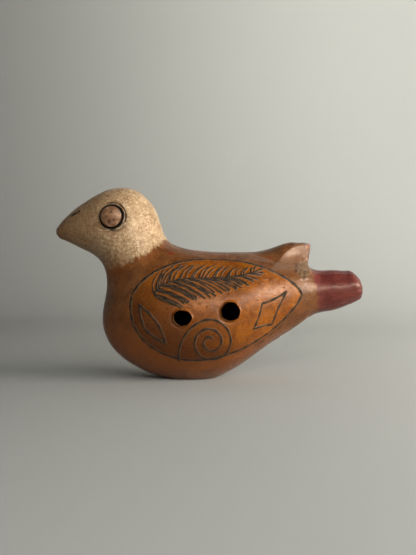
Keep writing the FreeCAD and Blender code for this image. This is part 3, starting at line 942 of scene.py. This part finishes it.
    satin = n.step(fine, 0.35, 0.7, 0.26, 0.42)
    satin = n.plus(satin, n.step(strokes, 0.35, 0.65, -0.05, 0.07))
    matt = n.math("MAXIMUM", n.math("MAXIMUM", inside, n.times(rough_part, 0.9)), scraped)
    roughness = n.plus(satin, n.times(matt, 0.4))

    head = n.step(above, 0.0, 5.0)
    normal = n.bump(fine, 0.00012, n.step(head, 0.0, 1.0, 0.35, 0.9))
    normal = n.bump(strokes, 0.00012, 0.35, normal)
    normal = n.bump(grain, 0.00006, n.step(matt, 0.0, 1.0, 0.35, 1.0), normal)
    return n.finish(colour, roughness, normal, 0.5)


def make_pellet_material():
    n = Nodes("eye_clay_pellet")
    fine = n.noise(1.3, 4.0, 0.6)
    colour = n.mix(n.step(fine, 0.35, 0.65), PELLET_DARK, PELLET)
    colour = n.mix(n.step(n.noise(0.5, 3.0), 0.5, 0.7, 0.0, 0.6), colour, PELLET_LIGHT)
    colour = n.mix(n.step(n.attribute("dot"), 0.25, 0.8, 0.0, 0.8), colour, PELLET_DOT)
    # Painted shade with black pigment on the pellet's rim, down in its socket.
    colour = n.mix(n.step(n.attribute("rim"), 0.0, 1.0, 0.0, 0.9), colour, GROOVE_SHADE)
    normal = n.bump(fine, 0.00012, 0.6)
    return n.finish(colour, n.step(fine, 0.3, 0.7, 0.3, 0.45), normal)


def make_raw_material():
    n = Nodes("unburnished_clay")
    fine = n.noise(1.2, 5.0, 0.65)
    colour = n.mix(n.step(fine, 0.35, 0.65), RAW_CLAY, RAW_LIGHT)
    colour = n.mix(n.step(n.cells(1.1), 0.22, 0.1, 0.0, 0.6), colour, SPECK_DARK)
    return n.finish(colour, n.step(fine, 0.3, 0.7, 0.75, 0.9), n.bump(fine, 0.0002, 0.7), 0.3)


def make_stage_material():
    """Paper with painted light and shade: paler towards the window's side and the back, darker in front and
    on the left.
    """
    n = Nodes("stage_paper")
    across = n.add("ShaderNodeVectorMath", {0: n.millimetres, 1: (1.0, 0.25, 0.0)}, operation="DOT_PRODUCT")
    tooth = n.noise(1.2, 3.0, 0.6)
    colour = n.mix(n.step(across.outputs["Value"], -260.0, 500.0), STAGE_SHADED_SIDE, STAGE_LIT_SIDE)
    return n.finish(colour, n.step(tooth, 0.3, 0.7, 0.85, 0.95), n.bump(tooth, 0.00003, 0.3), 0.1)


# ---------------------------------------------------------------------------------------------
# Pieces

def settle(item, node, material, sharp_degrees=42):
    mesh = item.data
    mesh.materials.clear()
    mesh.materials.append(material)
    mesh.polygons.foreach_set("use_smooth", [True] * len(mesh.polygons))
    mesh.set_sharp_from_angle(angle=math.radians(sharp_degrees))
    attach(item, "root")
    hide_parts(node)


def make_head(material):
    shell = Shell()
    first, last = shell.add_skin(PLACES[0], PLACES[HEAD_SEAM], 0.3 * MM)
    shell.close(first, (-0.1 * MM, 0, 0))
    shell.close(last)
    item = new_object("head_clay", shell.vertices, shell.faces)
    angles = np.linspace(0, FULL_TURN, 160, endpoint=False)
    socket = SOCKET_RADIUS * (1 + 0.012 * np.sin(2 * angles + 1) + 0.008 * np.sin(5 * angles))
    for side in (-1, 1):
        boolean(item, side_prism("socket_cutter", EYE, socket, side, EYE_FLOOR, 20 * MM))
    colour_attributes(item, shell.skin_points, shell.marks)
    settle(item, "head", material)


def make_neck(material):
    shell = Shell()
    for ring in shell.add_skin(PLACES[HEAD_SEAM], PLACES[NECK_SEAM], 0.3 * MM):
        shell.close(ring)
    item = new_object("neck_clay", shell.vertices, shell.faces)
    colour_attributes(item, shell.skin_points, shell.marks)
    settle(item, "neck_collar", material)


def make_breast(material):
    shell = Shell()
    first, last = shell.add_skin(PLACES[NECK_SEAM], PLACES[BOWL_SEAM], 0.27 * MM)
    shell.close(first)
    places = np.linspace(PLACES[12], PLACES[BOWL_SEAM], 20)
    blind, rim = shell.add_chamber(places, 6 * MM * (1 - ramp(places, PLACES[12], PLACES[12] + 7 * MM)))
    shell.close(blind)
    shell.bridge_coarse(last, rim)
    item = new_object("breast_clay", shell.vertices, shell.faces)
    cut_finger_holes(item, FINGER_HOLES[:2])
    colour_attributes(item, shell.skin_points, shell.marks)
    settle(item, "breast_bowl", material)


def make_rump(material):
    shell = Shell()
    first, last = shell.add_skin(PLACES[BOWL_SEAM], PLACES[TAIL_SEAM], 0.3 * MM)
    shell.close(last)
    places = np.linspace(PLACES[BOWL_SEAM], PLACES[TAIL_SEAM] - 3.5 * MM, 22)
    rim, blind = shell.add_chamber(places, 1.2 * MM * ramp(places, places[-1] - 4 * MM, places[-1]))
    shell.close(blind)
    shell.bridge_coarse(first, rim)
    item = new_object("rump_clay", shell.vertices, shell.faces)
    cut_finger_holes(item, FINGER_HOLES[2:])
    boolean(item, soft_block("window_cutter", (44.5 * MM, -WINDWAY_HALF, -2 * MM),
                             (50 * MM, WINDWAY_HALF, 32.5 * MM), 0.3 * MM, 0.1 * MM))
    boolean(item, soft_block("seat_cutter", (37.5 * MM, -WINDWAY_HALF, -2 * MM),
                             (44.6 * MM, WINDWAY_HALF, 31.5 * MM), 0.1 * MM))
    boolean(item, windway_cutter())
    colour_attributes(item, shell.skin_points, shell.marks)
    settle(item, "rump_bowl", material)


def make_sound_edge(material):
    """The wedge whose lower face ramps up to the edge in front of the windway."""
    shell = bmesh.new()
    rows = []
    for y in np.linspace(-4.5, 4.5, 19):
        rows.append([shell.verts.new((x * MM, y * MM, z * MM)) for x, z in EDGE_PROFILE])
    for before, after in zip(rows[:-1], rows[1:]):
        for i in range(len(EDGE_PROFILE)):
            j = (i + 1) % len(EDGE_PROFILE)
            shell.faces.new((before[i], before[j], after[j], after[i]))
    shell.faces.new(rows[0])
    shell.faces.new(rows[-1])
    bmesh.ops.recalc_face_normals(shell, faces=shell.faces)
    sharp = [e for e in shell.edges if e.calc_face_angle() > 0.4]
    bmesh.ops.bevel(shell, geom=sharp, offset=0.12 * MM, segments=2, affect="EDGES", profile=0.5)
    for vertex in shell.verts:
        vertex.co += 0.06 * MM * noise.noise_vector(vertex.co / (1.9 * MM))
    mesh = bpy.data.meshes.new("sound_edge_clay")
    shell.to_mesh(mesh)
    shell.free()
    item = bpy.data.objects.new("sound_edge_clay", mesh)
    bpy.context.scene.collection.objects.link(item)
    settle(item, "sound_edge", material, 60)


def make_mouthpiece(material):
    """One tapered tube of red-slipped clay, parted along the middle of its windway."""
    shell = Shell()
    first, last = shell.add_skin(PLACES[TAIL_SEAM], PLACES[-1], 0.28 * MM)
    shell.close(first)
    shell.close(last, (0.25 * MM, 0, 0.08 * MM))
    point = Vector(WINDWAY_FOOT)
    across = Vector((-math.sin(WINDWAY_SLOPE), 0, math.cos(WINDWAY_SLOPE)))
    parts = (("roof", "mouthpiece_roof", 1), ("floor", "mouthpiece_floor", -1))
    for name, node, keep in parts:
        item = new_object("mouthpiece_%s_clay" % name, shell.vertices, shell.faces)
        half = bmesh.new()
        half.from_mesh(item.data)
        cut = bmesh.ops.bisect_plane(
            half, geom=half.verts[:] + half.edges[:] + half.faces[:], dist=1e-7,
            plane_co=point, plane_no=across, clear_inner=keep > 0, clear_outer=keep < 0)
        edges = [e for e in cut["geom_cut"] if isinstance(e, bmesh.types.BMEdge)]
        bmesh.ops.contextual_create(half, geom=edges)
        bmesh.ops.recalc_face_normals(half, faces=half.faces)
        half.to_mesh(item.data)
        half.free()
        boolean(item, windway_cutter())
        colour_attributes(item, shell.skin_points, shell.marks)
        settle(item, node, material)


def find_skin(x, y):
    """Places and turns at which the back of the plain skin lies over given (x, y)."""
    tops = np.linspace(PLACES[13], PLACES[-3], 200)
    place = np.interp(x, skin(tops, 0.0 * tops)[:, 0], tops)
    turn = np.arcsin(np.clip(y / SECTION_CURVE(place)[:, 4], -0.98, 0.98))
    step, angle = 0.05 * MM, 0.002
    for _ in range(8):
        here = skin(place, turn)
        by_place = (skin(place + step, turn) - here)[:, :2] / step
        by_turn = (skin(place, turn + angle) - here)[:, :2] / angle
        miss = np.stack([x, y], axis=1) - here[:, :2]
        area = by_place[:, 0] * by_turn[:, 1] - by_place[:, 1] * by_turn[:, 0]
        place = place + (miss[:, 0] * by_turn[:, 1] - miss[:, 1] * by_turn[:, 0]) / area
        turn = turn + (by_place[:, 0] * miss[:, 1] - by_place[:, 1] * miss[:, 0]) / area
    return place, turn


def fin_height(x, y):
    """Height of the pinched fin over the skin below it, blended into that skin; lengths in metres."""
    x, y = x / MM, y / MM
    rise, crown, steep = (np.interp(x, FIN_PROFILE[:, 0], FIN_PROFILE[:, k]) for k in (1, 2, 3))
    behind = np.maximum(0, x - FIN_BACK)
    cut_off = 5.0 * behind ** 2 / (behind + 0.35)
    soft = crown * steep
    fall = steep * (np.sqrt(y ** 2 + soft ** 2 + cut_off ** 2) - soft) + 3.0 * (y / 11) ** 4
    place, turn = find_skin(x * MM, y * MM)
    middle, middle_turn = find_skin(x * MM, 0 * y)
    below = skin(place, turn)[:, 2] / MM
    drop = (skin(middle, middle_turn)[:, 2] / MM - below) * (1 - ramp(np.abs(y), 4.0, 11.0))
    facing = np.cross(FIN_FACET[1] - FIN_FACET[0], FIN_FACET[2] - FIN_FACET[1])
    run, spread = x - FIN_FACET[0, 0], np.abs(y) - FIN_FACET[0, 1]
    flat = FIN_FACET[0, 2] - (facing[0] * run + facing[1] * spread) / facing[2] - below
    free, pressed = rise - fall + drop, flat - 1.7 * cut_off
    over = 0.5 * (free + pressed - np.sqrt((free - pressed) ** 2 + 0.03))
    over = np.maximum(over, np.minimum(free, -1.5))
    blend = FIN_BLEND
    height = np.where(over < -blend, 0, np.where(over > blend, over, (over + blend) ** 2 / (4 * blend)))
    return height * MM, over, place, turn


def make_tail_fin(material):
    """A ridge that grows out of the back and is pinched thin towards the tail."""
    x_rows = np.concatenate([np.arange(20.5, 47.4, 0.3), np.arange(47.4, 49.6, 0.045),
                             np.arange(49.6, 51.3, 0.15)]) * MM
    shares = np.linspace(-1, 1, 141)
    shares = np.sign(shares) * np.abs(shares) ** 1.45
    tops = np.linspace(PLACES[13], PLACES[-3], 200)
    half_widths = np.interp(x_rows, skin(tops, 0 * tops)[:, 0], SECTION_CURVE(tops)[:, 4])
    widths = []
    for x, half_width in zip(x_rows, half_widths):
        probe = np.linspace(0, 0.9 * half_width, 90)
        over = fin_height(np.full(len(probe), x), probe)[1]
        clear = np.nonzero(over < -FIN_BLEND - 0.2)[0]
        widths.append(max(3 * MM, probe[clear[0] if len(clear) else -1] + 0.3 * MM))
    widths = np.convolve(np.pad(widths, 3, mode="edge"), np.ones(7) / 7, mode="valid") + 0.2 * MM
    x = np.repeat(x_rows, len(shares))
    y = (widths[:, None] * shares[None, :]).ravel()
    height, _, place, turn = fin_height(x, y)
    base, marks = modelled_skin(place, turn)
    inward = skin_normals(place, turn)
    top = base + np.stack([FIN_LEAN * height, 0 * height, height], axis=1)
    size = (len(x_rows), len(shares))
    grid = top.reshape(*size, 3)
    facing = unit(np.cross(np.gradient(grid, axis=0), np.gradient(grid, axis=1))).reshape(-1, 3)
    standing = ramp(height, 0.3 * MM, 2.5 * MM)
    in_front = 1 - ramp(x, FIN_BACK * MM, (FIN_BACK + 0.5) * MM)
    side_on = ramp(np.abs(top[:, 1]), 0.6 * MM, 2.2 * MM) * in_front
    thumb = np.hypot((top[:, 0] - THUMB_MIDDLE[0]) / THUMB_SIZE[0],
                     (top[:, 2] - THUMB_MIDDLE[1]) / THUMB_SIZE[1])
    dent = 0.35 * MM * np.exp(-thumb ** 2) * side_on
    crease = np.interp(top[:, 0], *(MM * FIN_CREASE))
    under = ramp(crease - top[:, 2], -0.15 * MM, 0.35 * MM) * ramp(top[:, 0], 43.5 * MM, 45.5 * MM)
    dent += 0.45 * MM * under * side_on
    chip = np.hypot(top[:, 0] - CHIP_MIDDLE[0], top[:, 2] - CHIP_MIDDLE[1]) / CHIP_SIZE
    chip = np.exp(-chip ** 2) * (top[:, 1] < 0.4 * MM)
    dent += 0.5 * MM * chip
    dent += 0.16 * MM * noise_field(top, 5 * MM, 31.0) + 0.05 * MM * noise_field(top, 1.6 * MM, 33.0)
    rough = rough_patch(top)
    dent += rough * 0.2 * MM * noise_field(top, 1.1 * MM, 21.0)
    sunk = 0.02 + 0.16 * (1 - ramp(height, 0.0, 0.1 * MM))
    top = top - facing * (dent * standing)[:, None] + inward * (sunk * MM)[:, None]
    bottom = base + inward * 0.4 * MM

    shell = Shell()
    upper = np.array(shell.add_ring(top)).reshape(size)
    lower = np.array(shell.add_ring(bottom)).reshape(size)
    for sheet in (upper, lower):
        shell.faces += list(zip(sheet[:-1, :-1].ravel(), sheet[1:, :-1].ravel(),
                                sheet[1:, 1:].ravel(), sheet[:-1, 1:].ravel()))
    border = [list(sheet[0, :-1]) + list(sheet[:-1, -1]) + list(sheet[-1, :0:-1]) + list(sheet[:0:-1, 0])
              for sheet in (upper, lower)]
    shell.bridge(*border)
    item = new_object("fin_clay", shell.vertices, shell.faces)
    for name in ("line_ratio", "line_above", "line_dark"):
        marks[name] = np.where(height > 0.4 * MM, {"line_ratio": 9.0}.get(name, 0.0), marks[name])
    colour_attributes(item, top, marks)
    store(item.data, "chip", np.concatenate([chip, 0 * chip]))
    settle(item, "tail_fin", material, 70)


def make_eye(name, node, side, material):
    """A flattened pellet with three pricks, set a little towards the front of its socket."""
    shell = Shell()
    count = 120
    angles = np.linspace(0, FULL_TURN, count, endpoint=False)
    edge = EYE_RADIUS * (1 + 0.012 * np.sin(2 * angles + 0.4) + 0.008 * np.sin(3 * angles + side))
    middle = EYE + MM * np.array([-0.28, 0.0])
    rings, dots, rims = [], [], []
    profile = [(share, 0.0) for share in np.linspace(0.03, 0.93, 30)]
    profile += [(0.93 + 0.07 * math.sin(a), a) for a in np.linspace(0.2, math.pi / 2, 8)]
    for share, bend in profile:
        radius = edge * share
        x, z = radius * np.cos(angles), radius * np.sin(angles)
        dome = EYE_CROWN - (EYE_DOME - np.sqrt(EYE_DOME ** 2 - radius ** 2))
        dome -= 0.32 * MM * (1 - math.cos(bend))
        pricks = sum(np.exp(-((x - MM * px) ** 2 + (z - MM * pz) ** 2) / (MM * size) ** 2)
                     for px, pz, size in EYE_DOTS)
        points = np.stack([middle[0] + x, side * dome, middle[1] + z], axis=1)
        points[:, 1] += side * 0.07 * MM * noise_field(points, 2.0 * MM, 41.0)
        points[:, 1] -= side * 0.16 * MM * pricks
        rings.append(shell.add_ring(points))
        dots.append(pricks)
        rims.append(np.full(count, ramp(share, 0.95, 1.0)))
    foot = np.stack([middle[0] + edge * np.cos(angles), np.full(count, side * EYE_FLOOR),
                     middle[1] + edge * np.sin(angles)], axis=1)
    rings.append(shell.add_ring(foot))
    dots.append(np.zeros(count))
    rims.append(np.ones(count))
    for before, after in zip(rings[:-1], rings[1:]):
        shell.bridge(before, after)
    shell.close(rings[0])
    shell.close(rings[-1])
    item = new_object(name, shell.vertices, shell.faces)
    store(item.data, "dot", np.concatenate(dots + [[dots[0][0], 0]]))
    store(item.data, "rim", np.concatenate(rims + [[0, 1]]))
    settle(item, node, material, 50)


# ---------------------------------------------------------------------------------------------
# Camera, stage and light

def make_camera():
    data = bpy.data.cameras.new("camera")
    camera = bpy.data.objects.new("camera", data)
    bpy.context.scene.collection.objects.link(camera)
    data.lens = 52.5
    camera.location = (7.56 * MM, -340 * MM, 41.8 * MM)
    camera.rotation_euler = (math.radians(90), 0, 0)
    data.clip_start = 0.01
    bpy.context.scene.camera = camera


def area_light(name, place, aim, size, power, colour=(1, 1, 1)):
    data = bpy.data.lights.new(name, "AREA")
    data.shape = "RECTANGLE"
    data.size, data.size_y = size
    data.energy = power
    data.color = colour
    lamp = bpy.data.objects.new(name, data)
    lamp.location = place
    direction = Vector(aim) - Vector(place)
    lamp.rotation_euler = direction.to_track_quat("-Z", "Y").to_euler()
    lamp.visible_camera = False
    bpy.context.scene.collection.objects.link(lamp)


def make_stage(material):
    """A round floor that curves up into a plain wall all the way round."""
    radius, corner, height = 0.9, 0.45, 1.3
    outline = [(0.3, 0.0), (radius - corner, 0.0)]
    for angle in np.linspace(0, math.pi / 2, 15)[1:]:
        outline.append((radius - corner + corner * math.sin(angle), corner - corner * math.cos(angle)))
    outline.append((radius, height))
    steps = 96
    shell = Shell()
    rings = [shell.add_ring([(r * math.cos(FULL_TURN * k / steps), r * math.sin(FULL_TURN * k / steps), z)
                             for k in range(steps)]) for r, z in outline]
    shell.close(rings[0])
    for before, after in zip(rings[:-1], rings[1:]):
        shell.bridge(before, after)
    floor = new_object("stage_floor", shell.vertices, shell.faces)
    floor.data.polygons.foreach_set("use_smooth", [True] * len(floor.data.polygons))
    floor.data.materials.append(material)


def make_light():
    world = bpy.data.worlds.new("studio")
    bpy.context.scene.world = world
    world.use_nodes = True
    background = world.node_tree.nodes["Background"]
    background.inputs["Color"].default_value = (0.8, 0.85, 0.95, 1)
    background.inputs["Strength"].default_value = 0.08
    area_light("window", (0.70, -0.26, 0.19), (0, 0, 0.04), (0.55, 0.36), 9.9, (1, 0.95, 0.88))
    area_light("low_window", (0.26, -0.62, 0.28), (0.02, 0, 0.04), (0.5, 0.16), 2.5)
    area_light("back_wash", (0.6, 0.3, 0.95), (0.75, 1.2, 0.85), (0.5, 0.2), 2.3)
    area_light("front_wash", (-0.35, -0.3, 0.95), (-1.2, -1.1, 0.85), (0.5, 0.2), 1.0)
    bpy.context.scene.view_settings.view_transform = "Standard"


def main():
    make_camera()
    make_stage(make_stage_material())
    make_light()
    skin_clay = make_skin_material()
    pellet = make_pellet_material()
    make_head(skin_clay)
    make_neck(skin_clay)
    make_breast(skin_clay)
    make_rump(skin_clay)
    make_tail_fin(skin_clay)
    make_mouthpiece(skin_clay)
    make_sound_edge(make_raw_material())
    make_eye("eye_left_clay", "eye_left", -1, pellet)
    make_eye("eye_right_clay", "eye_right", 1, pellet)


main()
